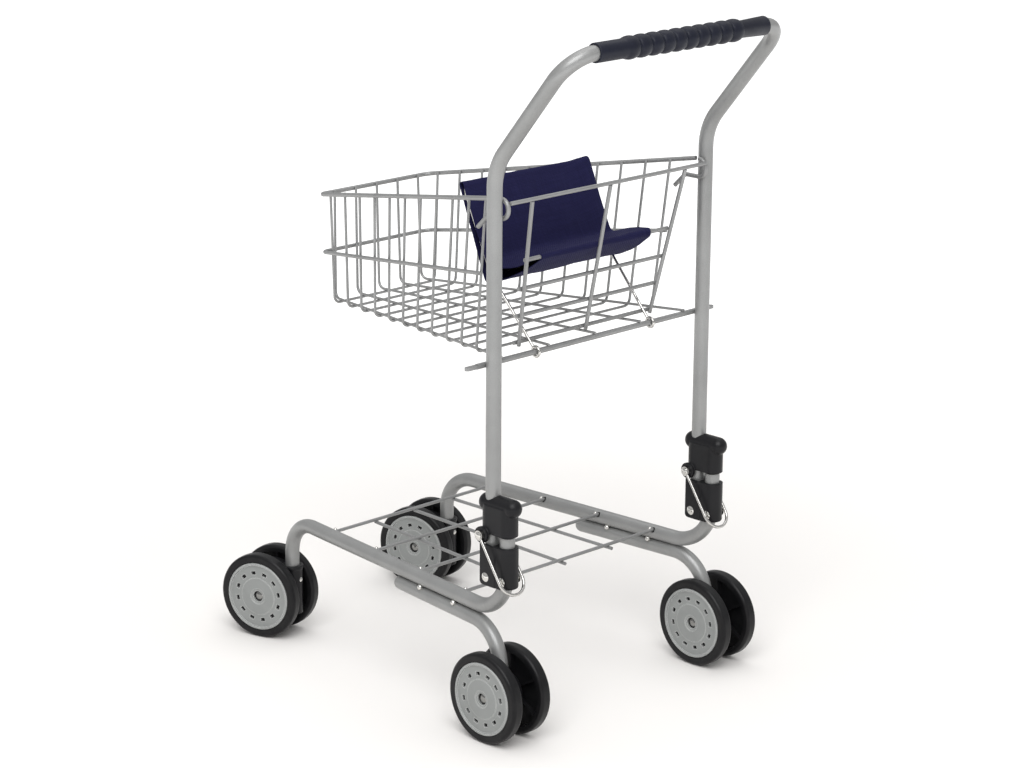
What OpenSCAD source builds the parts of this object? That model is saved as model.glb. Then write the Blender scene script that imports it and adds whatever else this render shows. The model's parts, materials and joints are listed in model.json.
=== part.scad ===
// Toy shopping trolley: a wheeled tube base, a folding handle frame that carries
// a wire basket, two lock sliders with wire bails, and a sling seat for a doll.
// The front is -Y, the pusher stands on the +Y side, and the floor is z = 0.

/* [Frame tubes] */
// outside diameter of every bent frame tube
tube_d = 12; // [10:0.5:16]
// wall thickness of the frame tubes
tube_wall = 1.2; // [0.8:0.1:2]
// height of the base tubes' centreline above the front castors
base_front_z = 104.8; // [90:0.1:110]
// height of the base tubes' centreline at the rear bend
base_rear_z = 100.2; // [90:0.1:110]
// sideways distance from the middle to each upright
upright_x = 118.5; // [100:0.5:140]
// sideways distance from the middle to each front stem
stem_x = 90.5; // [70:0.5:110]
// distance from the rear axle forward to the front stems
stem_ahead = 283; // [240:1:320]
// distance from the rear axle forward to the uprights
upright_ahead = 11.5; // [5:0.5:20]
// gap between the axes of an upright and the base tube end behind it
hinge_pitch = 15.8; // [14:0.1:20]
// how far the rear axle lies behind the trolley's middle
rear_axle_y = 134.92; // [120:0.01:150]

/* [Handle] */
// height of the bend where an upright turns back towards the grip
knee_z = 452; // [420:1:480]
// height of the grip's axis
grip_z = 544.5; // [500:0.5:580]
// distance of the grip's axis behind the rear axle
grip_back = 66; // [50:1:90]
// length of the grip sleeve
grip_len = 188; // [150:1:200]
// outside diameter of the grip sleeve between its ridges
grip_d = 15; // [14:0.1:20]

/* [Wheels] */
// outside diameter of each wheel
wheel_d = 73.2; // [60:0.2:90]
// width of each wheel
wheel_w = 10.5; // [10:0.5:18]
// diameter of each hub cap
cap_d = 58.8; // [45:0.2:62]
// half width of a twin wheel unit, to the rim of its hub cap
unit_half = 21; // [18:0.2:30]
// sideways distance from the middle to each rear wheel unit
unit_x = 121.5; // [110:0.5:140]
// diameter of the wheel axles
axle_d = 6; // [4:0.5:8]
// distance from a caster's stem to its axle
caster_trail = 22.5; // [15:0.5:30]
// swivel angle of the left caster at rest
left_swivel = 17; // [-180:1:180]
// swivel angle of the right caster at rest
right_swivel = 14; // [-180:1:180]

/* [Basket] */
// wire diameter of the rim
rim_d = 3.6; // [3:0.1:6]
// wire diameter of the middle band and the rear gate
band_d = 3.2; // [2:0.1:5]
// wire diameter of the basket's mesh
mesh_d = 2.2; // [1.5:0.1:3]
// number of mesh wires running across the basket
cross_count = 11; // [7:1:15]
// number of mesh wires running along the basket
long_count = 5; // [3:2:9]
// half width of the rim at the front
rim_front_x = 61; // [45:0.5:80]
// height of the rim at the front
rim_front_z = 381; // [350:1:410]
// height of the rim at the uprights
rim_rear_z = 426.5; // [400:0.5:450]
// diameter of the bar under the basket's rear edge
bar_d = 4.5; // [3:0.1:7]
// height of that bar's axis
bar_z = 298; // [280:1:320]

/* [Seat] */
// wire diameter of the seat frame
seat_wire_d = 2.4; // [2:0.1:4]
// half width of the seat back
seat_half = 71; // [60:0.5:80]
// thickness of the seat's folded cloth
cloth_t = 4.6; // [3:0.1:8]

/* [Fits] */
// radial clearance of every running fit
run_gap = 0.06; // [0.02:0.01:0.1]
// depth that a welded or seated wire is sunk into what it meets
weld = 0.15; // [0.05:0.05:0.4]
// length that a straight laps into the bend beside it
lap = 0.3; // [0.1:0.05:0.5]
// how much thicker a bend is than the straights that lap into it
swell = 0.02; // [0.01:0.005:0.05]

/* [Hidden] */
$fn = 32;
eps = 0.01;
tube_r = tube_d / 2;
bore_r = tube_r - tube_wall;
wheel_r = wheel_d / 2;
wheel_in = unit_half - 0.6 - wheel_w;
axle_r = axle_d / 2;
axle_z = wheel_r;
upright_y = -upright_ahead;
stub_y = upright_y + hinge_pitch;
stem_y = -stem_ahead;
pivot_z = 130.5;
bracket_z0 = 124;
bracket_z1 = 157.2;
slider_z0 = 166.2;
slider_top = 189;
stub_top = slider_z0 - 1.2;
leg_drop = tube_d + 0.1;
leg_front_y = -130;
leg_foot = [119.5, -1.5, 45];
leg_bend = 33;
side_bends = [30, 36];
stem_foot_z = 46.3;
collar_z = 63.4;
screw_z = collar_z - 12.5;
housing_half = 9.1;
neck_r = 8.5;
shelf_rise = 2.9;
shelf_wire_r = 1.4;
shelf_ys = [-226, -169, -110, -52];
shelf_end = 3.8;
shelf_hole_r = 2.1;
weld_ys = [-100, -57];
shelf_front_xs = [-45, 0, 45];
shelf_rear_xs = [-55, 0, 55];
rivet_r = 2;
rim_r = rim_d / 2;
band_r = band_d / 2;
mesh_r = mesh_d / 2;
bar_r = bar_d / 2;
bar_y = upright_y - tube_r - bar_r + weld;
hook_x = upright_x - tube_r - rim_r + weld;
hook_r = 7;
hook_y = -4.5;
rim_front_y = -276;
mesh_front_y = rim_front_y + rim_r + mesh_r - weld;
floor_front_z = 292;
floor_rear_z = bar_z + bar_r + mesh_r - weld;
floor_front_y = -271;
floor_front_x = 55.5;
floor_rear_x = 106;
band_front_z = 332;
band_rear_z = 363.5;
gate_top_z = 424;
gate_top_y = -3.8;
gate_foot_z = 302.5;
gate_foot_y = -29;
gate_rod_zs = [304.9, 327.5, 350, 373.5];
gate_overhangs = [3.2, 3.2, 3.2, -0.6];
gate_rod_ahead = 2 * band_r - 0.3;
seat_foot_x = 65;
seat_knee = [66.5, -68, 351];
seat_top = [68.5, -97.3, 418];
seat_wire_r = seat_wire_d / 2;

// ---- helpers ----

function unit(v) = v / norm(v);
function mix(a, b, t) = a + (b - a) * t;
function turn_at(p, i) = acos(max(-1, min(1, unit(p[i] - p[i - 1]) * unit(p[i + 1] - p[i]))));
function trim_at(p, b, i) = (i == 0 || i == len(p) - 1) ? 0 : b[i - 1] * tan(turn_at(p, i) / 2);
function bend_list(p, b) = is_list(b) ? b : [for (i = [2:len(p) - 1]) b];
function mirrored(p) = concat(p, [for (i = [len(p) - 1:-1:0]) [-p[i][0], p[i][1], p[i][2]]]);

// moves the rear axle's frame to the trolley's own frame
module placed() {
  translate([0, rear_axle_y, 0]) children();
}

// mirrors a left-hand part for the right side
module on_side(side) {
  if (side > 0) {
    children();
  } else {
    mirror([1, 0, 0]) children();
  }
}

// points the children's Z axis from a towards b
module aimed(a, b) {
  d = b - a;
  translate(a) rotate([0, acos(d[2] / norm(d)), atan2(d[1], d[0])]) children();
}

// round rod between two points
module rod(a, b, r) {
  if (norm(b - a) > eps) {
    aimed(a, b) cylinder(h = norm(b - a), r = r);
  }
}

// round cylinder centred on a point, along X
module across(p, len, r) {
  translate(p) rotate([0, 90, 0]) cylinder(h = len, r = r, center = true);
}

// quarter-like bend of a round rod at corner i of a path
module elbow(p, i, bend, r) {
  d1 = unit(p[i] - p[i - 1]);
  d2 = unit(p[i + 1] - p[i]);
  turn = turn_at(p, i);
  n = unit(d2 - d1 * (d1 * d2));
  c = p[i] - d1 * (bend * tan(turn / 2)) + n * bend;
  z = cross(-n, d1);
  multmatrix([
    [-n[0], d1[0], z[0], c[0]],
    [-n[1], d1[1], z[1], c[1]],
    [-n[2], d1[2], z[2], c[2]],
    [0, 0, 0, 1]
  ]) rotate_extrude(angle = turn, $fn = 72) translate([bend, 0]) circle(r = r, $fn = 24);
}

// round rod along a path of points, with rounded corners; each straight laps into its bends
module bent_rod(p, r, bend) {
  b = bend_list(p, bend);
  n = len(p);
  for (i = [0:n - 2]) {
    d = unit(p[i + 1] - p[i]);
    from = i == 0 ? 0 : trim_at(p, b, i) - lap;
    to = i == n - 2 ? 0 : trim_at(p, b, i + 1) - lap;
    rod(p[i] + d * from, p[i + 1] - d * to, r, $fn = 24);
  }
  if (n > 2) {
    for (i = [1:n - 2]) {
      elbow(p, i, b[i - 1], r + swell);
    }
  }
}

// hollow tube along a path; q is the path of its bore
module bent_tube(p, q, bend) {
  difference() {
    bent_rod(p, tube_r, bend);
    bent_rod(q, bore_r, bend);
  }
}

// screw or rivet along X, with a domed head at each end of its shank
module headed_pin(p, len, r, head_r, head_t) {
  across(p, len + eps, r);
  for (s = [-1, 1]) {
    translate([p[0] + s * len / 2, p[1], p[2]]) rotate([0, 90 * s, 0]) domed_head(head_r, head_t);
  }
}

// low domed head standing on z = 0
module domed_head(r, t) {
  ball = (r * r + t * t) / (2 * t);
  rotate_extrude() intersection() {
    translate([0, t - ball]) circle(r = ball, $fn = 96);
    square([r, t]);
  }
}

// ---- base ----

// point on a base tube's axis at a distance y
function base_at(y) =
  mix([stem_x, stem_y, base_front_z], [upright_x, stub_y, base_rear_z], (y - stem_y) / (stub_y - stem_y));
function base_x(y) = base_at(y)[0];
function shelf_z(y) = base_at(y)[2] + shelf_rise;

function side_path(foot, top) = [
  [stem_x, stem_y, foot],
  base_at(stem_y),
  base_at(stub_y),
  [upright_x, stub_y, top]
];

module side_tube(side) {
  color([0.66, 0.67, 0.68]) placed() on_side(side) difference() {
    bent_tube(
      side_path(stem_foot_z, stub_top),
      side_path(stem_foot_z - 1, stub_top + 1),
      side_bends
    );
    for (y = shelf_ys) {
      translate([base_x(y) - tube_r, y + 0.8, shelf_z(y)]) rotate([0, 90, 0])
        cylinder(h = tube_r - 1.6, r = shelf_hole_r);
    }
    across([upright_x, rear_rivet_y, pivot_z], 3 * tube_d, rivet_r + 0.02);
  }
}

leg_front = base_at(leg_front_y) - [0, 0, leg_drop];
leg_corner = [leg_foot[0], leg_foot[1], base_at(leg_foot[1])[2] - leg_drop];
leg_dir = unit(leg_corner - leg_front);

function leg_at(y) = mix(leg_front, leg_corner, (y - leg_front[1]) / (leg_corner[1] - leg_front[1]));

module rear_leg(side) {
  color([0.66, 0.67, 0.68]) placed() on_side(side) {
    bent_tube(
      [leg_front, leg_corner, leg_foot],
      [leg_front + 2 * leg_dir, leg_corner, leg_foot - [0, 0, 1]],
      leg_bend
    );
    difference() {
      translate(leg_front) sphere(r = tube_r, $fn = 48);
      rod(leg_front + 0.1 * leg_dir, leg_front + tube_d * leg_dir, tube_d);
    }
  }
}

// tack welds in the valleys between a base tube and the leg under it
module leg_welds() {
  color([0.8, 0.8, 0.82]) placed() for (side = [-1, 1]) on_side(side) {
    for (y = weld_ys) {
      for (s = [-1, 1]) {
        difference() {
          translate((base_at(y) + leg_at(y)) / 2 + [4.5 * s, 0, 0]) sphere(r = 2.4);
          rod(base_at(y - tube_d), base_at(y + tube_d), tube_r - 0.05, $fn = 96);
          rod(leg_at(y - tube_d), leg_at(y + tube_d), tube_r - 0.05, $fn = 96);
        }
      }
    }
  }
}

module shelf_cross_wires() {
  color([0.68, 0.69, 0.7]) placed() for (y = shelf_ys) {
    x = base_x(y) - shelf_end;
    rod([-x, y, shelf_z(y)], [x, y, shelf_z(y)], shelf_wire_r);
  }
}

module shelf_long_wires() {
  drop = 2 * shelf_wire_r - weld;
  front = shelf_ys[0] - 2;
  rear = shelf_ys[3] + 4;
  color([0.68, 0.69, 0.7]) placed() for (i = [0:len(shelf_rear_xs) - 1]) {
    rod(
      [shelf_front_xs[i], front, shelf_z(front) - drop],
      [shelf_rear_xs[i], rear, shelf_z(rear) - drop],
      shelf_wire_r
    );
  }
}

// weld beads where the shelf's cross wires enter the base tubes
module shelf_welds() {
  color([0.8, 0.8, 0.82]) placed() for (side = [-1, 1]) on_side(side) {
    for (y = shelf_ys) {
      difference() {
        translate([base_x(y) - tube_r + 0.3, y - 1.7, shelf_z(y) + 0.9]) sphere(r = 1.6);
        rod(base_at(y - tube_d), base_at(y + tube_d), tube_r - 0.05, $fn = 96);
        across([base_x(y) - tube_d, y, shelf_z(y)], 2 * tube_d, shelf_wire_r - 0.05);
      }
    }
  }
}

// ---- hinge bracket, fixed to the base tube's upturned end ----

bracket_r = 8.3;
bracket_y = stub_y + 0.6;
rear_rivet_y = stub_y + 2;
flange_t = 2.2;

// side view of one flange, with its lower front corner rounded
module flange_outline() {
  r = 3;
  front = upright_y - tube_r;
  back = bracket_y - 6;
  polygon(concat(
    [[back, bracket_z1], [front, bracket_z1]],
    [for (a = [180:15:270]) [front + r + r * cos(a), bracket_z0 + r + r * sin(a)]],
    [[back, bracket_z0]]
  ));
}

module bracket(side) {
  h = bracket_z1 - bracket_z0;
  round = 1.8;
  color([0.09, 0.09, 0.1]) placed() on_side(side) difference() {
    translate([upright_x, 0, 0]) union() {
      translate([0, bracket_y, bracket_z0]) rotate_extrude($fn = 48) polygon(concat(
        [[0, h], [0, 0]],
        [for (a = [-90:15:0]) [bracket_r - round + round * cos(a), round + round * sin(a)]],
        [[bracket_r, h]]
      ));
      translate([-bracket_r, bracket_y - 10, bracket_z0]) cube([2 * bracket_r, 10, h]);
      for (s = [-1, 1]) {
        translate([s * 7.6 - flange_t / 2, 0, 0]) rotate([90, 0, 90])
          linear_extrude(flange_t) flange_outline();
      }
    }
    bent_rod(side_path(stem_foot_z, stub_top), tube_r + 0.02, side_bends);
    across([upright_x, rear_rivet_y, pivot_z], 40, rivet_r + 0.02);
    across([upright_x, upright_y, pivot_z], 40, rivet_r + 0.02);
  }
}

module bracket_rivets() {
  color([0.8, 0.8, 0.82]) placed() for (side = [-1, 1]) on_side(side) {
    for (y = [upright_y, rear_rivet_y]) {
      headed_pin([upright_x, y, pivot_z], 17.4, rivet_r, 3.7, 1.3);
    }
  }
}

// ---- wheels ----

// housing of a twin wheel unit: a disc about the axle at [0, 0] and a socket beside it
module wheel_housing(socket, top, disc_r, neck, socket_r, socket_z) {
  difference() {
    union() {
      across([0, 0, axle_z], 2 * housing_half, disc_r, $fn = 64);
      translate([socket[0], socket[1], axle_z - 16]) cylinder(h = top - axle_z + 16, r = neck, $fn = 48);
    }
    translate([socket[0], socket[1], socket_z]) cylinder(h = 60, r = socket_r, $fn = 48);
    across([0, 0, axle_z], 60, axle_r + 0.01);
  }
}

module wheel_axle() {
  half = unit_half - 2.7;
  across([0, 0, 0], 2 * half, axle_r);
  for (s = [-1, 1]) {
    translate([s * (half - eps), 0, 0]) rotate([0, 90 * s, 0]) domed_head(3.6, 1);
  }
}

// black moulded wheel, its open dished side facing the housing
module wheel_body() {
  out = unit_half - 0.6;
  web_out = out - 2.2;
  web_in = web_out - 3;
  rim_in_r = cap_d / 2 + 0.6;
  shoulder = 2.8;
  arc_out = [for (a = [0:15:90]) [wheel_r - shoulder + shoulder * cos(a), out - shoulder + shoulder * sin(a)]];
  arc_in = [for (a = [-90:15:0]) [wheel_r - shoulder + shoulder * cos(a), wheel_in + shoulder + shoulder * sin(a)]];
  rotate([0, 90, 0]) union() {
    rotate_extrude($fn = 96) polygon(concat(
      [[axle_r + run_gap, wheel_in], [8, wheel_in], [8, web_in], [rim_in_r, web_in], [rim_in_r + 1, wheel_in]],
      arc_in,
      arc_out,
      [[rim_in_r, out], [rim_in_r, web_out], [axle_r + run_gap, web_out]]
    ));
    for (i = [0:5]) {
      rotate([0, 0, 60 * i]) translate([7, -0.8, web_in - 4.5]) cube([rim_in_r - 6.6, 1.6, 5]);
    }
  }
}

// grey hub cap pressed into the wheel's outer face
module wheel_cap() {
  r = cap_d / 2;
  floor = unit_half - 2.8;
  face = unit_half - 1.2;
  rotate([0, 90, 0]) difference() {
    rotate_extrude($fn = 96) polygon([
      [r, floor], [r, unit_half - 0.5], [r - 0.5, unit_half],
      [r - 1.8, unit_half], [r - 2.3, face], [16.4, face + 0.1], [15.9, face + 0.45],
      [7, face + 0.65], [6.5, face + 0.2], [4.7, face], [4.7, floor]
    ]);
    for (i = [0:11]) {
      rotate([0, 0, 30 * i + 12]) translate([20.7, 0, floor - 1]) translate([-1.5, -2.15, 0]) cube([3, 4.3, 8]);
    }
  }
}

// places a left-facing wheel part on one side of a rear unit
module rear_unit(side, outer) {
  placed() translate([side * unit_x, 0, axle_z]) on_side(side * outer) children();
}

// places a caster part that is drawn about its stem
module caster(side) {
  swivel = side > 0 ? left_swivel : right_swivel;
  placed() translate([side * stem_x, stem_y, 0]) rotate([0, 0, swivel]) children();
}

module front_unit(side, outer) {
  caster(side) translate([0, -caster_trail, axle_z]) on_side(side * outer) children();
}

module rear_housing(side) {
  socket = [leg_foot[0] - unit_x, leg_foot[1]];
  color([0.07, 0.07, 0.08]) placed() on_side(side) translate([unit_x, 0, 0])
    wheel_housing(socket, 55, 16, housing_half + socket[0], tube_r + 0.02, leg_foot[2] - 0.1);
}

module rear_axle(side) {
  color([0.7, 0.7, 0.72]) placed() translate([side * unit_x, 0, axle_z]) wheel_axle();
}

module caster_housing(side) {
  seam_z = collar_z - 7;
  color([0.07, 0.07, 0.08]) caster(side) difference() {
    union() {
      translate([0, -caster_trail, 0])
        wheel_housing([0, caster_trail], collar_z, 27, neck_r, tube_r + run_gap, stem_foot_z - 0.4);
      translate([0, 0, collar_z - 3]) difference() {
        cylinder(h = 3, r = housing_half, $fn = 48);
        translate([0, 0, -1]) cylinder(h = 5, r = tube_r + 1, $fn = 48);
      }
    }
    translate([0, 0, seam_z]) difference() {
      cylinder(h = 0.7, r = housing_half + 1, $fn = 48);
      translate([0, 0, -1]) cylinder(h = 3, r = neck_r - 0.5, $fn = 48);
    }
    translate([0, 0, screw_z]) rotate([-90, 0, 0]) cylinder(h = 20, r = 1.5);
  }
}

module caster_axle(side) {
  color([0.7, 0.7, 0.72]) caster(side) translate([0, -caster_trail, axle_z]) wheel_axle();
}

module caster_screw(side) {
  color([0.8, 0.8, 0.82]) caster(side) translate([0, 0, screw_z]) rotate([-90, 0, 0]) {
    translate([0, 0, tube_r + 0.3]) cylinder(h = neck_r - tube_r - 0.2, r = 1.49);
    translate([0, 0, neck_r - 0.1]) domed_head(2.1, 1);
  }
}

module tyre_color() {
  color([0.09, 0.09, 0.1]) children();
}

module cap_color() {
  color([0.58, 0.6, 0.61]) children();
}

// ---- handle frame ----

function handle_half(foot) = [
  [upright_x, upright_y, foot],
  [upright_x, upright_y, knee_z],
  [upright_x, grip_back, grip_z]
];

module handle_tube() {
  bends = [45, 26, 26, 45];
  color([0.66, 0.67, 0.68]) placed()
    bent_tube(mirrored(handle_half(pivot_z + 4)), mirrored(handle_half(pivot_z + 3)), bends);
}

// ribbed sleeve; its profile is turned about the grip's axis
module handle_grip() {
  half = grip_len / 2;
  ridges = 10;
  span = 128;
  steps = 12;
  outer = [for (i = [0:ridges * steps]) [
    grip_d / 2 + 0.55 - 0.9 * cos(360 * i / steps),
    -span / 2 + span * i / (ridges * steps)
  ]];
  color([0.06, 0.07, 0.1]) placed() translate([0, grip_back, grip_z]) rotate([0, 90, 0])
    rotate_extrude($fn = 48) polygon(concat(
      [[tube_r + 0.02, -half], [grip_d / 2 - 0.8, -half], [grip_d / 2, -half + 0.8]],
      outer,
      [[grip_d / 2, half - 0.8], [grip_d / 2 - 0.8, half], [tube_r + 0.02, half]]
    ));
}

// plastic ends of the uprights, which turn on the bracket's front rivets
module pivot_plugs() {
  color([0.1, 0.1, 0.11]) placed() for (s = [-1, 1]) {
    translate([s * upright_x, upright_y, pivot_z]) difference() {
      union() {
        sphere(r = tube_r, $fn = 48);
        cylinder(h = 4, r = tube_r, $fn = 48);
        cylinder(h = 22, r = bore_r - 0.02);
      }
      across([0, 0, 0], 20, rivet_r + run_gap);
    }
  }
}

// ---- basket ----

// how far along the basket a distance y lies, from its front to its rear
function along_rim(y) = (y - rim_front_y) / (hook_y - hook_r - rim_front_y);
function along_floor(y) = (y - floor_front_y) / (bar_y - floor_front_y);
function rim_x(y) = mix(rim_front_x, hook_x, along_rim(y));
function rim_z(y) = mix(rim_front_z, rim_rear_z, along_rim(y));
function floor_x(y) = mix(floor_front_x, floor_rear_x, along_floor(y));
function floor_z(y) = mix(floor_front_z, floor_rear_z, along_floor(y));
function cross_top_y(i) = mix(-263, -36, i / (cross_count - 1));
function cross_foot_y(i) = mix(-263, -50, i / (cross_count - 1));
wall_gap = rim_r + mesh_r - weld;

module basket_rim() {
  low = rim_rear_z - 2 * hook_r - 0.7;
  half = [
    [hook_x, -37, low - 10.7],
    [hook_x, -26, low],
    [hook_x, hook_y, low],
    [hook_x, hook_y, rim_rear_z],
    [hook_x, hook_y - hook_r - 4, rim_rear_z],
    [rim_front_x, rim_front_y, rim_front_z]
  ];
  color([0.7, 0.71, 0.72]) placed()
    bent_rod(mirrored(half), rim_r, [5, hook_r, hook_r, 2, 9, 9, 2, hook_r, hook_r, 5]);
}

module basket_band() {
  half = [
    [mix(floor_x(-42), rim_x(-42), 0.5) + wall_gap, -41, band_rear_z],
    [mix(floor_front_x, rim_front_x, 0.46) + wall_gap - 1.2, rim_front_y + rim_r - band_r, band_front_z]
  ];
  color([0.7, 0.71, 0.72]) placed() bent_rod(mirrored(half), band_r, 9);
}

module basket_cross_wires() {
  color([0.66, 0.67, 0.68]) placed() for (i = [0:cross_count - 1]) {
    ty = cross_top_y(i);
    fy = cross_foot_y(i);
    fz = floor_z(fy) - 2 * mesh_r + weld;
    bent_rod(mirrored([[rim_x(ty) - wall_gap, ty, rim_z(ty) + 1.4], [floor_x(fy), fy, fz]]), mesh_r, 6);
  }
}

module basket_long_wires() {
  color([0.66, 0.67, 0.68]) placed() for (i = [0:long_count - 1]) {
    u = 2 * i / (long_count - 1) - 1;
    bent_rod([
      [47 * u, mesh_front_y, rim_front_z + 1.4],
      [49 * u, floor_front_y, floor_front_z],
      [(floor_rear_x - 2) * u, bar_y + 1.5, floor_rear_z]
    ], mesh_r, 6);
  }
}

// point on an outer upright of the leaning rear gate, at a height z
function gate_at(z) =
  mix([86, gate_top_y, gate_top_z], [74.5, gate_foot_y, gate_foot_z], (gate_top_z - z) / (gate_top_z - gate_foot_z));

module gate_uprights() {
  top = gate_at(gate_top_z - band_r);
  foot = gate_at(gate_foot_z);
  color([0.7, 0.71, 0.72]) placed() for (u = [-1, 0, 1]) {
    rod([top[0] * u, top[1], top[2]], [foot[0] * u, foot[1], foot[2]], band_r);
  }
}

// the gate's top bar and the four rods welded across its front
module gate_rods() {
  color([0.7, 0.71, 0.72]) placed() {
    rod([-hook_x + 1.4, gate_top_y, gate_top_z], [hook_x - 1.4, gate_top_y, gate_top_z], band_r);
    for (i = [0:len(gate_rod_zs) - 1]) {
      at = gate_at(gate_rod_zs[i]);
      x = at[0] + gate_overhangs[i];
      y = at[1] - gate_rod_ahead;
      rod([-x, y, at[2]], [x, y, at[2]], band_r);
    }
  }
}

module basket_bar() {
  flat_from = 129;
  color([0.7, 0.71, 0.72]) placed() translate([0, bar_y, bar_z]) {
    across([0, 0, 0], 2 * flat_from, bar_r);
    for (s = [-1, 1]) on_side(s) {
      translate([flat_from - 1, -bar_r, -1.2]) cube([10.5, 2 * bar_r, 2.4]);
      translate([flat_from + 9.5, 0, -1.2]) cylinder(h = 2.4, r = bar_r);
    }
  }
}

// ---- lock slider and bail, drawn about the upright's axis ----

ear_y = -2.8;
ear_z = 164.8;
ear_r = 6.6;
slider_r = 8.2;

module hinge_local(side) {
  placed() on_side(side) translate([upright_x, upright_y, 0]) children();
}

module lock_slider(side) {
  h = slider_top - slider_z0;
  rear = hinge_pitch + 0.2;
  knob_r = 7.4;
  knob_front = -5.3;
  knob_rear = 21.2;
  color([0.08, 0.08, 0.09]) hinge_local(side) difference() {
    union() {
      translate([0, 0, slider_z0]) cylinder(h = h, r = slider_r, $fn = 48);
      translate([0, rear, slider_z0]) cylinder(h = h, r = slider_r, $fn = 48);
      translate([-slider_r, 0, slider_z0]) cube([2 * slider_r, rear, h]);
      translate([0, knob_front, slider_top]) rotate([-90, 0, 0])
        cylinder(h = knob_rear - knob_front, r = knob_r, $fn = 48);
      translate([0, knob_front, slider_top]) sphere(r = knob_r, $fn = 48);
      translate([0, knob_rear, slider_top]) sphere(r = knob_r, $fn = 48);
      for (s = [-1, 1]) {
        translate([s * 9.4, ear_y, ear_z]) rotate([0, 90, 0])
          cylinder(h = 2.8, r = ear_r, center = true);
      }
    }
    translate([0, 0, 100]) cylinder(h = 200, r = tube_r + run_gap, $fn = 48);
    translate([0, hinge_pitch, slider_z0 - 1]) cylinder(h = 13, r = tube_r + 0.5, $fn = 48);
    across([0, ear_y, ear_z], 40, 1.62);
  }
}

module bail_rivets(side) {
  color([0.82, 0.82, 0.84]) hinge_local(side) for (s = [-1, 1]) {
    translate([s * 8.6, ear_y, ear_z]) rotate([0, 90 * s, 0]) cylinder(h = 5.2, r = 1.6);
    translate([s * 13.7, ear_y, ear_z]) rotate([0, 90 * s, 0]) domed_head(3, 1.2);
  }
}

module bail(side) {
  x = 12.3;
  foot = [26.4, 120.9];
  d = unit([foot[0] - ear_y, foot[1] - ear_z]);
  color([0.8, 0.8, 0.82]) hinge_local(side) {
    bent_rod(mirrored([
      [x, ear_y + d[0] * 4, ear_z + d[1] * 4],
      [x, foot[0], foot[1]]
    ]), 1.25, x - 0.35);
    for (s = [-1, 1]) {
      translate([s * x, ear_y, ear_z]) rotate([0, 90, 0]) difference() {
        cylinder(h = 2.2, r = 4, center = true);
        cylinder(h = 4, r = 1.6 + run_gap, center = true);
      }
    }
  }
}

// ---- doll seat ----

module seat_frame() {
  bar = [0, bar_y, bar_z];
  ring = bar_r + seat_wire_r + 0.3;
  to_knee = unit([0, seat_knee[1] - bar_y, seat_knee[2] - bar_z]);
  foot = [seat_foot_x, bar_y + to_knee[1] * (ring - 0.3), bar_z + to_knee[2] * (ring - 0.3)];
  color([0.82, 0.82, 0.84]) placed() {
    bent_rod(mirrored([foot, seat_knee, seat_top]), seat_wire_r, [14, 7, 7, 14]);
    across([0, seat_knee[1], seat_knee[2]], 2 * seat_knee[0] - 0.4, seat_wire_r);
    for (s = [-1, 1]) {
      translate([s * seat_foot_x, bar_y, bar_z]) rotate([0, 90, 0])
        rotate_extrude($fn = 48) translate([ring, 0]) circle(r = seat_wire_r + 0.06, $fn = 24);
    }
  }
}

// frame of the seat back: origin at the knee, Z up along the back
module on_back() {
  d = seat_top - seat_knee;
  lean = atan2(-d[1], d[2]);
  translate([0, seat_knee[1], seat_knee[2]]) rotate([lean, 0, 0]) children();
}

module seat_back() {
  rise = norm([0, seat_top[1] - seat_knee[1], seat_top[2] - seat_knee[2]]);
  r = cloth_t / 2;
  color([0.11, 0.1, 0.28]) placed() on_back() {
    translate([-seat_half, -r, 3]) cube([2 * seat_half, cloth_t, rise - 3]);
    across([0, 0, rise], 2 * seat_half, r);
  }
}

module seat_panel() {
  top_rod = gate_at(gate_rod_zs[3]);
  rear = [top_rod[1] - gate_rod_ahead, top_rod[2]];
  front = [seat_knee[1] + 3.5, seat_knee[2] - 1];
  run = norm(rear - front);
  r = 2.6;
  color([0.11, 0.1, 0.28]) placed() translate([0, front[0], front[1]])
    rotate([atan2(rear[1] - front[1], rear[0] - front[0]), 0, 0]) {
      translate([-63.5, 0, -r]) cube([127, run, 2 * r]);
      across([0, run, 0], 127, r);
    }
}

// ---- placement ----

side_tube(1);  // left_side_tube
side_tube(-1);  // right_side_tube
rear_leg(1);  // left_rear_leg
rear_leg(-1);  // right_rear_leg
leg_welds();
shelf_cross_wires();
shelf_long_wires();
shelf_welds();
bracket(1);  // left_bracket
bracket(-1);  // right_bracket
bracket_rivets();
rear_housing(1);  // left_rear_housing
rear_housing(-1);  // right_rear_housing
rear_axle(1);  // left_rear_axle
rear_axle(-1);  // right_rear_axle
tyre_color() rear_unit(1, 1) wheel_body();  // left_rear_outer_wheel
cap_color() rear_unit(1, 1) wheel_cap();  // left_rear_outer_cap
tyre_color() rear_unit(1, -1) wheel_body();  // left_rear_inner_wheel
cap_color() rear_unit(1, -1) wheel_cap();  // left_rear_inner_cap
tyre_color() rear_unit(-1, 1) wheel_body();  // right_rear_outer_wheel
cap_color() rear_unit(-1, 1) wheel_cap();  // right_rear_outer_cap
tyre_color() rear_unit(-1, -1) wheel_body();  // right_rear_inner_wheel
cap_color() rear_unit(-1, -1) wheel_cap();  // right_rear_inner_cap
caster_housing(1);  // left_caster_housing
caster_housing(-1);  // right_caster_housing
caster_axle(1);  // left_caster_axle
caster_axle(-1);  // right_caster_axle
caster_screw(1);  // left_caster_screw
caster_screw(-1);  // right_caster_screw
tyre_color() front_unit(1, 1) wheel_body();  // left_front_outer_wheel
cap_color() front_unit(1, 1) wheel_cap();  // left_front_outer_cap
tyre_color() front_unit(1, -1) wheel_body();  // left_front_inner_wheel
cap_color() front_unit(1, -1) wheel_cap();  // left_front_inner_cap
tyre_color() front_unit(-1, 1) wheel_body();  // right_front_outer_wheel
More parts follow.
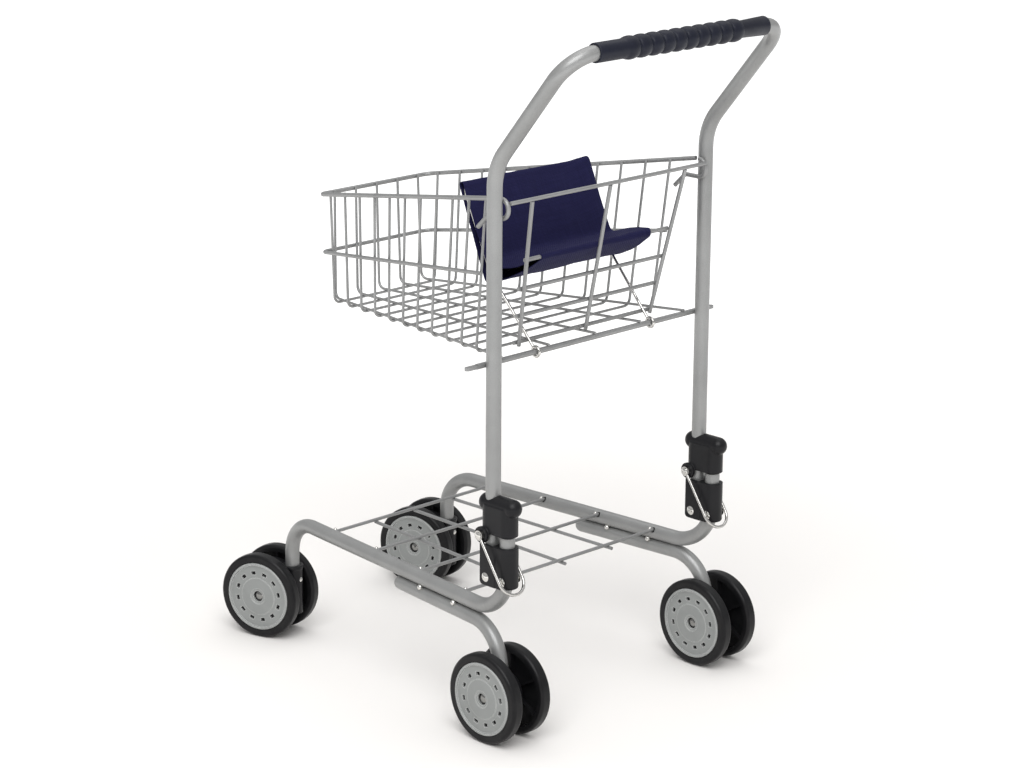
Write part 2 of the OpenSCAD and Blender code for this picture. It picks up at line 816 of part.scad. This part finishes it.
cap_color() front_unit(-1, 1) wheel_cap();  // right_front_outer_cap
tyre_color() front_unit(-1, -1) wheel_body();  // right_front_inner_wheel
cap_color() front_unit(-1, -1) wheel_cap();  // right_front_inner_cap
handle_tube();
handle_grip();
pivot_plugs();
basket_rim();
basket_band();
basket_cross_wires();
basket_long_wires();
gate_uprights();
gate_rods();
basket_bar();
lock_slider(1);  // left_lock_slider
lock_slider(-1);  // right_lock_slider
bail_rivets(1);  // left_bail_rivets
bail_rivets(-1);  // right_bail_rivets
bail(1);  // left_bail
bail(-1);  // right_bail
seat_frame();
seat_back();
seat_panel();
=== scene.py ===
"""Looks of the toy shopping trolley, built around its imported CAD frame."""

import json
import math

import bpy
from mathutils import Matrix, Vector, noise


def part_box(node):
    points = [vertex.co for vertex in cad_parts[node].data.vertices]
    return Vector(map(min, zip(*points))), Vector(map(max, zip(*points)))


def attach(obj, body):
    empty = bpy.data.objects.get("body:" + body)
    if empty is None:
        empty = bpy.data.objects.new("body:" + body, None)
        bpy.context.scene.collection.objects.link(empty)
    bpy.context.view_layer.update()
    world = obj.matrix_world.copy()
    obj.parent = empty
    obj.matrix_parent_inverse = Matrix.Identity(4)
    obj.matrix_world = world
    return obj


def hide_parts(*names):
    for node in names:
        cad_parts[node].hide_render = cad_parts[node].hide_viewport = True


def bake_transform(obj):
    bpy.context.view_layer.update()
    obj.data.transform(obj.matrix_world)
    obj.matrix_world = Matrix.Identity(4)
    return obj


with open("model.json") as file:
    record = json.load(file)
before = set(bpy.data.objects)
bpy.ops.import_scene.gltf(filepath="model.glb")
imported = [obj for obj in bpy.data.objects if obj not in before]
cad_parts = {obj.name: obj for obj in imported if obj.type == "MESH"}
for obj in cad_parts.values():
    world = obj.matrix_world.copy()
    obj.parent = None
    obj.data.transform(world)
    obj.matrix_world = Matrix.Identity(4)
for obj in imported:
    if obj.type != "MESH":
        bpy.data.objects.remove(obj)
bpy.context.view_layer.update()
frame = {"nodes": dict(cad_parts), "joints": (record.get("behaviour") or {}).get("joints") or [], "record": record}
nodes = frame["nodes"]
joints = {j["name"]: j for j in frame["joints"]}
record = frame["record"]
MM = 0.001


# ---------------------------------------------------------------- mesh helpers


def add_mesh(name, verts, faces, smooth=True):
    """A new object from vertices and faces, in metres."""
    mesh = bpy.data.meshes.new(name)
    mesh.from_pydata([tuple(v) for v in verts], [], faces)
    mesh.validate()
    mesh.update()
    for polygon in mesh.polygons:
        polygon.use_smooth = smooth
    obj = bpy.data.objects.new(name, mesh)
    bpy.context.scene.collection.objects.link(obj)
    return obj


def paint(obj, mat):
    """Gives the object one material."""
    obj.data.materials.clear()
    obj.data.materials.append(mat)
    return obj


def apply_modifiers(obj):
    """Freezes the modifiers into the mesh."""
    deps = bpy.context.evaluated_depsgraph_get()
    deps.update()
    baked = bpy.data.meshes.new_from_object(obj.evaluated_get(deps))
    old = obj.data
    obj.modifiers.clear()
    obj.data = baked
    bpy.data.meshes.remove(old)
    return obj


def frame_at(centre, axis):
    """A matrix whose Z axis is the given direction, placed at the centre."""
    turn = Vector(axis).normalized().to_track_quat("Z", "Y").to_matrix().to_4x4()
    return Matrix.Translation(centre) @ turn


def lathe(profile, segments, place):
    """Vertices and faces of a profile of (radius, height) turned about local Z; a zero radius closes it."""
    verts, faces, rings = [], [], []
    for radius, height in profile:
        if radius < 1e-9:
            rings.append([len(verts)])
            verts.append(place @ Vector((0, 0, height)))
            continue
        rings.append(list(range(len(verts), len(verts) + segments)))
        for k in range(segments):
            a = math.tau * k / segments
            verts.append(place @ Vector((radius * math.cos(a), radius * math.sin(a), height)))
    for low, high in zip(rings, rings[1:]):
        for k in range(segments):
            n = (k + 1) % segments
            if len(low) == 1:
                faces.append((low[0], high[n], high[k]))
            elif len(high) == 1:
                faces.append((low[k], low[n], high[0]))
            else:
                faces.append((low[k], low[n], high[n], high[k]))
    return verts, faces


def moulded(node, voxel, rounds, name, body):
    """A black plastic CAD part with its edges rounded as a mould rounds them; it stands for that node."""
    source = nodes[node]
    piece = bpy.data.objects.new(name, source.data.copy())
    bpy.context.scene.collection.objects.link(piece)
    weld = piece.modifiers.new("weld", "WELD")
    weld.merge_threshold = 1e-6
    remesh = piece.modifiers.new("remesh", "REMESH")
    remesh.mode = "VOXEL"
    remesh.voxel_size = voxel
    smooth = piece.modifiers.new("smooth", "LAPLACIANSMOOTH")
    smooth.iterations = rounds
    smooth.lambda_factor = 0.6
    smooth.use_volume_preserve = True
    light = piece.modifiers.new("light", "DECIMATE")
    light.ratio = 0.35
    apply_modifiers(piece)
    for polygon in piece.data.polygons:
        polygon.use_smooth = True
    paint(piece, MATERIALS["black_plastic"])
    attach(piece, body)
    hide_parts(node)


# ---------------------------------------------------------------- materials


class Shade:
    """A small wrapper that keeps node trees short to write."""

    def __init__(self, name):
        self.mat = bpy.data.materials.new(name)
        self.mat.use_nodes = True
        self.tree = self.mat.node_tree
        self.shader = self.tree.nodes["Principled BSDF"]
        self.coords = self.node("ShaderNodeTexCoord").outputs["Object"]

    def node(self, kind, **values):
        made = self.tree.nodes.new(kind)
        for key, value in values.items():
            setattr(made, key, value)
        return made

    def link(self, a, b):
        self.tree.links.new(a, b)

    def set(self, **values):
        for key, value in values.items():
            self.shader.inputs[key.replace("_", " ")].default_value = value

    def scaled(self, scale, source=None):
        mapping = self.node("ShaderNodeMapping")
        mapping.inputs["Scale"].default_value = scale
        self.link(source or self.coords, mapping.inputs["Vector"])
        return mapping.outputs["Vector"]

    def noise(self, scale, detail=3.0, rough=0.55, source=None):
        made = self.node("ShaderNodeTexNoise")
        made.inputs["Scale"].default_value = scale
        made.inputs["Detail"].default_value = detail
        made.inputs["Roughness"].default_value = rough
        self.link(source or self.coords, made.inputs["Vector"])
        return made.outputs["Fac"]

    def ramp(self, fac, stops):
        made = self.node("ShaderNodeValToRGB")
        elements = made.color_ramp.elements
        while len(elements) < len(stops):
            elements.new(0.5)
        for element, (place, colour) in zip(elements, stops):
            element.position = place
            element.color = (*colour, 1) if len(colour) == 3 else colour
        self.link(fac, made.inputs["Fac"])
        return made.outputs["Color"]

    def span(self, fac, low, high):
        made = self.node("ShaderNodeMapRange")
        made.inputs["To Min"].default_value = low
        made.inputs["To Max"].default_value = high
        self.link(fac, made.inputs["Value"])
        return made.outputs["Result"]

    def math(self, operation, a, b=None):
        made = self.node("ShaderNodeMath", operation=operation)
        for socket, value in zip(made.inputs, (a, b)):
            if value is None:
                continue
            if isinstance(value, (int, float)):
                socket.default_value = value
            else:
                self.link(value, socket)
        return made.outputs["Value"]

    def mix(self, fac, a, b):
        made = self.node("ShaderNodeMix", data_type="RGBA")
        for index, value in ((0, fac), (6, a), (7, b)):
            socket = made.inputs[index]
            if isinstance(value, (int, float)):
                socket.default_value = value
            elif isinstance(value, tuple):
                socket.default_value = (*value, 1)
            else:
                self.link(value, socket)
        return made.outputs[2]

    def bump(self, height, distance, strength=1.0):
        made = self.node("ShaderNodeBump")
        made.inputs["Distance"].default_value = distance
        made.inputs["Strength"].default_value = strength
        self.link(height, made.inputs["Height"])
        self.link(made.outputs["Normal"], self.shader.inputs["Normal"])

    def colour(self, output):
        self.link(output, self.shader.inputs["Base Color"])

    def roughness(self, output):
        self.link(output, self.shader.inputs["Roughness"])


def powder_coat(name, low, high, metallic):
    """Silver powder coat: fine metallic grain, faint orange peel, a few rubbed patches."""
    s = Shade(name)
    s.set(Metallic=metallic, Specular_IOR_Level=0.45, Coat_Weight=0.1, Coat_Roughness=0.25)
    grain = s.noise(2600, 2.0, 0.7)
    cloud = s.noise(28, 3.0)
    both = s.math("ADD", s.math("MULTIPLY", grain, 0.55), s.math("MULTIPLY", cloud, 0.45))
    body = s.ramp(both, [(0.32, low), (0.68, high)])
    rubbed = s.ramp(s.noise(75, 6.0, 0.7), [(0.62, (0, 0, 0)), (0.78, (1, 1, 1))])
    s.colour(s.mix(s.math("MULTIPLY", rubbed, 0.35), body, tuple(c * 1.25 for c in high)))
    s.roughness(s.span(s.noise(60, 4.0), 0.3, 0.46))
    s.bump(s.math("ADD", grain, s.math("MULTIPLY", s.noise(420, 2.0), 2.0)), 0.00003, 0.5)
    return s.mat


def plated(name, colour):
    """Bright plated wire with faint drawing marks."""
    s = Shade(name)
    s.set(Metallic=1.0)
    s.colour(s.mix(s.noise(90, 4.0), colour, tuple(c * 0.86 for c in colour)))
    s.roughness(s.span(s.noise(300, 3.0), 0.12, 0.26))
    s.bump(s.noise(1800, 2.0), 0.00002, 0.3)
    return s.mat


def plastic(name, low, high, rough_low, rough_high, grain=1500, depth=0.00004):
    """Moulded plastic with a spark-eroded texture and slight handling marks."""
    s = Shade(name)
    s.set(Specular_IOR_Level=0.22)
    s.colour(s.mix(s.noise(45, 5.0), low, high))
    s.roughness(s.span(s.noise(110, 5.0), rough_low, rough_high))
    s.bump(s.math("ADD", s.noise(grain, 2.0), s.math("MULTIPLY", s.noise(260, 3.0), 0.6)), depth, 0.6)
    return s.mat


def cap_plastic(name, low, high):
    """Grey cap plastic with a painted highlight along its raised rims and edges, brighter than the recessed faces.
    """
    s = Shade(name)
    s.set(Specular_IOR_Level=0.4)
    rounded = s.node("ShaderNodeBevel", samples=4)
    rounded.inputs["Radius"].default_value = 0.0012
    plain = s.node("ShaderNodeNewGeometry")
    same = s.node("ShaderNodeVectorMath", operation="DOT_PRODUCT")
    s.link(rounded.outputs["Normal"], same.inputs[0])
    s.link(plain.outputs["Normal"], same.inputs[1])
    # painted highlight: along rims and edges, where the rounded normal departs from the face's, the grey is mixed
    # towards light grey
    rim_highlight = s.ramp(s.math("SUBTRACT", 1.0, same.outputs["Value"]), [(0.01, (0, 0, 0)), (0.14, (1, 1, 1))])
    body = s.mix(s.noise(45, 5.0), low, high)
    s.colour(s.mix(s.math("MULTIPLY", rim_highlight, 0.75), body, (0.62, 0.63, 0.62)))
    s.roughness(s.span(s.noise(110, 5.0), 0.24, 0.4))
    s.bump(s.math("ADD", s.noise(1500, 2.0), s.math("MULTIPLY", s.noise(260, 3.0), 0.6)), 0.00004, 0.6)
    return s.mat


def tyre_plastic(name):
    """Black wheel plastic: satin, with dust and rolling scuffs."""
    s = Shade(name)
    s.set(Specular_IOR_Level=0.2)
    dust = s.ramp(s.noise(70, 6.0, 0.7), [(0.45, (0, 0, 0)), (0.8, (1, 1, 1))])
    s.colour(s.mix(s.math("MULTIPLY", dust, 0.16), (0.008, 0.008, 0.009), (0.06, 0.06, 0.058)))
    s.roughness(s.span(s.noise(150, 5.0), 0.24, 0.42))
    s.bump(s.math("ADD", s.noise(1700, 2.0), s.noise(330, 4.0)), 0.00005, 0.5)
    return s.mat


def woven_cloth(name):
    """Navy plain weave, drawn in the cloth's own flat coordinates."""
    s = Shade(name)
    flat = s.node("ShaderNodeUVMap", uv_map="flat").outputs["UV"]
    pitch = 0.0011
    parts = s.node("ShaderNodeSeparateXYZ")
    s.link(s.scaled((1 / pitch, 1 / pitch, 1), flat), parts.inputs["Vector"])
    u, v = parts.outputs["X"], parts.outputs["Y"]
    warp = s.math("ABSOLUTE", s.math("SINE", s.math("MULTIPLY", u, math.pi)))
    weft = s.math("ABSOLUTE", s.math("SINE", s.math("MULTIPLY", v, math.pi)))
    cell = s.math("ADD", s.math("FLOOR", u), s.math("FLOOR", v))
    over = s.math("GREATER_THAN", s.math("FRACT", s.math("MULTIPLY", cell, 0.5)), 0.25)
    under = s.math("SUBTRACT", 1.0, over)
    height = s.math("ADD", s.math("MULTIPLY", warp, over), s.math("MULTIPLY", weft, under))
    slub_u = s.noise(1.0, 3.0, 0.6, s.scaled((900, 26, 1), flat))
    slub_v = s.noise(1.0, 3.0, 0.6, s.scaled((26, 900, 1), flat))
    slub = s.math("MULTIPLY", s.math("ADD", slub_u, slub_v), 0.5)
    tone = s.math("ADD", s.math("MULTIPLY", height, 0.35), s.math("MULTIPLY", slub, 0.65))
    stops = [(0.26, (0.003, 0.003, 0.017)), (0.5, (0.0065, 0.006, 0.035)), (0.78, (0.017, 0.017, 0.066))]
    s.colour(s.ramp(tone, stops))
    s.set(Specular_IOR_Level=0.12, Sheen_Weight=0.06, Sheen_Roughness=0.5, Sheen_Tint=(0.3, 0.3, 0.7, 1))
    s.roughness(s.span(slub, 0.72, 0.92))
    s.bump(s.math("ADD", height, s.math("MULTIPLY", slub, 1.2)), 0.00022, 0.55)
    return s.mat


MATERIALS = {
    "frame_tube": powder_coat("silver_powder_coat", (0.235, 0.237, 0.235), (0.33, 0.333, 0.33), 0.4),
    "basket_wire": powder_coat("silver_wire_coat", (0.22, 0.222, 0.222), (0.32, 0.322, 0.322), 0.4),
    "bright_wire": plated("bright_wire", (0.62, 0.61, 0.59)),
    "steel_fixings": plated("zinc_fixings", (0.74, 0.73, 0.70)),
    "black_plastic": plastic("black_plastic", (0.006, 0.006, 0.007), (0.013, 0.013, 0.015), 0.28, 0.42),
    "wheel_plastic": tyre_plastic("wheel_black"),
    "cap_plastic": cap_plastic("cap_grey", (0.22, 0.23, 0.226), (0.30, 0.312, 0.307)),
    "grip_foam": plastic("grip_navy", (0.006, 0.007, 0.014), (0.013, 0.015, 0.027), 0.3, 0.5, 900, 0.00006),
    "seat_cloth": woven_cloth("seat_cloth"),
}
AXLE_STEEL = plated("dull_axle_steel", (0.30, 0.30, 0.29))
SLOT_OF = {s["node"]: s["material_slot"] for s in record["subparts"]}
for node_name, node_object in nodes.items():
    paint(node_object, AXLE_STEEL if node_name.endswith("_axle") else MATERIALS[SLOT_OF[node_name]])


# ---------------------------------------------------------------- grip


def make_grip():
    """Ribbed sleeve over the handle's cross tube."""
    low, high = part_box("handle_grip")
    centre = (low + high) / 2
    half = (high.x - low.x) / 2
    radius, bore, ridges, span, edge = 7.55 * MM, 6.02 * MM, 10, 128 * MM, 0.6 * MM
    groove, swelling, steps = 0.9 * MM, 2.3 * MM, 13
    profile = [(bore, -half), (radius - edge, -half)]
    turns = (0.5, 1.0, math.pi / 2)
    profile += [(radius - edge * (1 - math.sin(a)), -half + edge * (1 - math.cos(a))) for a in turns]
    for i in range(ridges):
        for k in range(steps):
            t = k / steps
            bulge = math.sqrt(max(0.0, math.sin(math.pi * t)))
            profile.append((radius - groove + swelling * bulge, span * ((i + t) / ridges - 0.5)))
    profile += [(radius, span / 2 + 0.8 * MM)]
    profile += [(radius - edge * (1 - math.sin(a)), half - edge * (1 - math.cos(a))) for a in turns[::-1]]
    profile += [(radius - edge, half), (bore, half), (bore, -half)]
    verts, faces = lathe(profile, 48, frame_at(centre, (1, 0, 0)))
    grip = add_mesh("grip_sleeve", verts, faces)
    weld = grip.modifiers.new("weld", "WELD")
    weld.merge_threshold = 1e-6
    apply_modifiers(grip)
    paint(grip, MATERIALS["grip_foam"])
    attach(grip, "handle_frame")
    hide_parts("handle_grip")


make_grip()


# ---------------------------------------------------------------- moulded parts

FINE, COARSE = 0.4 * MM, 0.5 * MM
for side in ("left", "right"):
    moulded(f"{side}_lock_slider", FINE, 6, f"{side}_slider_moulding", f"{side}_slider")
    moulded(f"{side}_bracket", FINE, 4, f"{side}_bracket_moulding", "base")
    moulded(f"{side}_caster_housing", COARSE, 5, f"{side}_caster_moulding", f"{side}_caster")
    moulded(f"{side}_rear_housing", COARSE, 5, f"{side}_rear_moulding", "base")


# ---------------------------------------------------------------- seat cloth

ROD_WRAP = 2.6 * MM
seat_pivot = Vector(joints["seat_fold"]["pos_m"])
panel_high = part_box("seat_panel")[1]
frame_low, frame_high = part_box("seat_frame")
WIRE_R = 1.2 * MM
BACK_HALF_WIDTH = 70.6
CLOTH_THICKNESS = 0.8 * MM
RIPPLE, FINE_RIPPLE = 0.7 * MM, 0.25 * MM
rod = Vector((0, panel_high.y - ROD_WRAP, panel_high.z - ROD_WRAP))
PIVOT_TO_KNEE = Vector((0, -48.4, 53.0)) * MM
knee = seat_pivot + PIVOT_TO_KNEE
crown = Vector((0, frame_low.y + WIRE_R, frame_high.z - WIRE_R))


def arc(centre, radius, start, end, count):
    """Points on an arc in the plane across X; angles in degrees from +Y towards +Z."""
    out = []
    for k in range(count):
        a = math.radians(start + (end - start) * k / (count - 1))
        out.append((centre[0] + radius * math.cos(a), centre[1] + radius * math.sin(a)))
    return out


def bow(a, b, sag, count):
    """Points between a and b, sagging by a given depth, without the ends."""
    out = []
    for k in range(1, count):
        t = k / count
        out.append((a[0] + (b[0] - a[0]) * t, a[1] + (b[1] - a[1]) * t - sag * 4 * t * (1 - t)))
    return out


def seat_profile(side):
    """The cloth loop's (y, z) points at one place across; side runs from -1 (right edge) to 1 (left edge)."""
    edge = abs(side) ** 4
    back_lean = math.degrees(math.atan2(knee.y - crown.y, crown.z - knee.z))
    wrap = (2.3 + 1.3 * max(0.0, -side) ** 3) * MM
    low_wrap = arc((rod.y, rod.z), wrap, 100, -78, 10)
    knee_centre = (knee.y + 0.4 * MM, knee.z - 1.4 * MM)
    knee_wrap = arc(knee_centre, 4.4 * MM, -66, -180 + back_lean, 12)
    crown_wrap = arc((crown.y, crown.z), wrap, 180 + back_lean, back_lean, 12)
    droop = (0.8 + 6.2 * max(0.0, side) ** 3 - 2.4 * max(0.0, -side) ** 3) * MM
    crease = (knee.y - 0.6 * MM, knee.z + (12.5 - 4.0 * max(0.0, side) ** 3) * MM)
    points = list(low_wrap)
    points += bow(low_wrap[-1], knee_wrap[0], (2.4 + 1.0 * edge) * MM, 16)
    points += knee_wrap
    points += bow(knee_wrap[-1], crown_wrap[0], -0.3 * MM, 26)
    points += crown_wrap
    points += bow(crown_wrap[-1], crease, (0.5 + 0.6 * edge) * MM, 22)
    points += [crease]
    points += bow(crease, low_wrap[0], droop, 18)
    return points


def smooth_loop(points, rounds):
    """Softens a closed loop of points a little."""
    for _ in range(rounds):
        n = len(points)
        points = [
            tuple((points[i - 1][k] + 2 * points[i][k] + points[(i + 1) % n][k]) / 4 for k in (0, 1))
            for i in range(n)
        ]
    return points


def loop_lengths(points):
    """Distance along the loop at each of its points, and round it all."""
    out = [0.0]
    for a, b in zip(points, points[1:] + points[:1]):
        out.append(out[-1] + math.hypot(b[0] - a[0], b[1] - a[1]))
    return out


def half_width(y, side=1.0):
    """The cloth is cut a little narrower towards the rear rod, more so on the right."""
    t = min(1.0, max(0.0, (y - knee.y) / (rod.y - knee.y)))
    taper = 6.4 if side > 0 else 10.6
    corner = 0.0 if side > 0 else 2.2 * max(0.0, (y - rod.y) / (3.6 * MM))
    return (BACK_HALF_WIDTH - taper * t * t * (3 - 2 * t) - corner) * MM


def make_seat():
    """One looped sling: over the top wire, under the knee and round the gate's rod."""
    across = 72
    columns = []
    for i in range(across + 1):
        side = 2 * i / across - 1
        loop = smooth_loop(seat_profile(side), 2)
        column = []
        for k, (y, z) in enumerate(loop):
            x = side * half_width(y, side)
            here = Vector((x, y, z))
            ripple = noise.noise(here * 42 + Vector((3, 1, 7)))
            fine = noise.noise(here * 110 + Vector((9, 4, 2)))
            column.append((here, ripple, fine))
        columns.append((column, loop_lengths(loop)))
    count = len(columns[0][0])
    verts = []
    for column, _ in columns:
        for k, (here, ripple, fine) in enumerate(column):
            before, after = column[k - 1][0], column[(k + 1) % count][0]
            along = after - before
            out = Vector((0, along.z, -along.y)).normalized()
            verts.append(here + out * (RIPPLE * ripple + FINE_RIPPLE * fine))
    faces = []
    for i in range(across):
        for k in range(count):
            n = (k + 1) % count
            faces.append((i * count + k, (i + 1) * count + k, (i + 1) * count + n, i * count + n))
    seat = add_mesh("seat_sling", verts, faces)
    uv = seat.data.uv_layers.new(name="flat")
    for polygon in seat.data.polygons:
        wraps = {v % count for v in polygon.vertices} == {0, count - 1}
        for loop_index in polygon.loop_indices:
            vertex = seat.data.loops[loop_index].vertex_index
            i, k = divmod(vertex, count)
            lengths = columns[i][1]
            s = lengths[-1] if wraps and k == 0 else lengths[k]
            uv.data[loop_index].uv = (seat.data.vertices[vertex].co.x, s)
    solid = seat.modifiers.new("cloth", "SOLIDIFY")
    solid.thickness = CLOTH_THICKNESS
    solid.offset = 0.0
    rounder = seat.modifiers.new("soft", "SUBSURF")
    rounder.levels = rounder.render_levels = 1
    apply_modifiers(seat)
    paint(seat, MATERIALS["seat_cloth"])
    lengths = [c[1][-1] for c in columns]
    width = 2 * half_width(knee.y)
    return seat, (width, sum(lengths) / len(lengths))


seat, seat_flat = make_seat()
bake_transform(seat)
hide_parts("seat_back", "seat_panel")


# ---------------------------------------------------------------- stage, camera, light


def make_stage():
    """A pale floor that runs out of sight; painted shade makes it greyer near the trolley and a painted glow
    whitens it further out.
    """
    size = 30.0
    corners = [(-size, -size, 0), (size, -size, 0), (size, size, 0), (-size, size, 0)]
    floor = add_mesh("floor", corners, [(0, 1, 2, 3)])
    s = Shade("floor_white")
    s.set(Roughness=0.85, Specular_IOR_Level=0.1)
    reach = s.node("ShaderNodeVectorMath", operation="LENGTH")
    s.link(s.coords, reach.inputs[0])
    far = s.node("ShaderNodeMapRange", interpolation_type="SMOOTHSTEP")
    far.inputs["From Min"].default_value = 0.3
    far.inputs["From Max"].default_value = 1.5
    s.link(reach.outputs["Value"], far.inputs["Value"])
    # painted shade: the floor is greyer and warmer near the middle, where the trolley stands, and paler further
    # out
    s.colour(s.mix(far.outputs["Result"], (0.90, 0.88, 0.86), (0.97, 0.97, 0.97)))
    # painted light: the floor glows, more strongly the further it lies from the middle
    s.set(Emission_Color=(1, 1, 1, 1))
    s.link(s.math("MULTIPLY", far.outputs["Result"], 0.45), s.shader.inputs["Emission Strength"])
    paint(floor, s.mat)


def make_camera():
    """The camera at the photograph's viewing angle."""
    azimuth, elevation, roll = (math.radians(a) for a in (135.14, 15.90, 0.36))
    level = Vector((math.sin(azimuth), -math.cos(azimuth), 0))
    back = level * math.cos(elevation) + Vector((0, 0, math.sin(elevation)))
    right = Vector((math.cos(azimuth), math.sin(azimuth), 0))
    up = back.cross(right)
    c, s = math.cos(roll), math.sin(roll)
    right, up = right * c + up * s, up * c - right * s
    rear_axle = Vector(joints["left_rear_outer_spin"]["pos_m"])
    camera = bpy.data.cameras.new("camera")
    camera.lens, camera.sensor_width = 104.2, 36.0
    obj = bpy.data.objects.new("camera", camera)
    bpy.context.scene.collection.objects.link(obj)
    turn = Matrix((right, up, back)).transposed().to_4x4()
    eye = Vector((1.6381, rear_axle.y + 1.5352, 0.9018))
    obj.matrix_world = Matrix.Translation(eye) @ turn
    bpy.context.scene.camera = obj


def area_light(name, place, target, size, power, colour=(1, 1, 1)):
    """A square softbox that faces its target."""
    data = bpy.data.lights.new(name, "AREA")
    data.energy, data.size, data.color = power, size, colour
    obj = bpy.data.objects.new(name, data)
    bpy.context.scene.collection.objects.link(obj)
    obj.matrix_world = frame_at(Vector(place), Vector(place) - Vector(target))


def make_light():
    """Soft white surroundings, with a large box overhead and a fill."""
    world = bpy.data.worlds.new("studio")
    bpy.context.scene.world = world
    world.use_nodes = True
    tree = world.node_tree
    background = tree.nodes["Background"]
    coords = tree.nodes.new("ShaderNodeTexCoord")
    parts = tree.nodes.new("ShaderNodeSeparateXYZ")
    ramp = tree.nodes.new("ShaderNodeValToRGB")
    tree.links.new(coords.outputs["Generated"], parts.inputs["Vector"])
    tree.links.new(parts.outputs["Z"], ramp.inputs["Fac"])
    tree.links.new(ramp.outputs["Color"], background.inputs["Color"])
    ramp.color_ramp.elements[0].color = (0.5, 0.5, 0.5, 1)
    ramp.color_ramp.elements[1].color = (1.0, 1.0, 1.0, 1)
    background.inputs["Strength"].default_value = 0.76
    middle = (0, 0, 0.25)
    area_light("key", (1.5, 1.3, 2.4), middle, 2.2, 62)
    area_light("top", (-0.6, -0.4, 2.6), middle, 2.2, 14)
    bpy.context.scene.view_settings.view_transform = "Standard"


make_stage()
make_camera()
make_light()
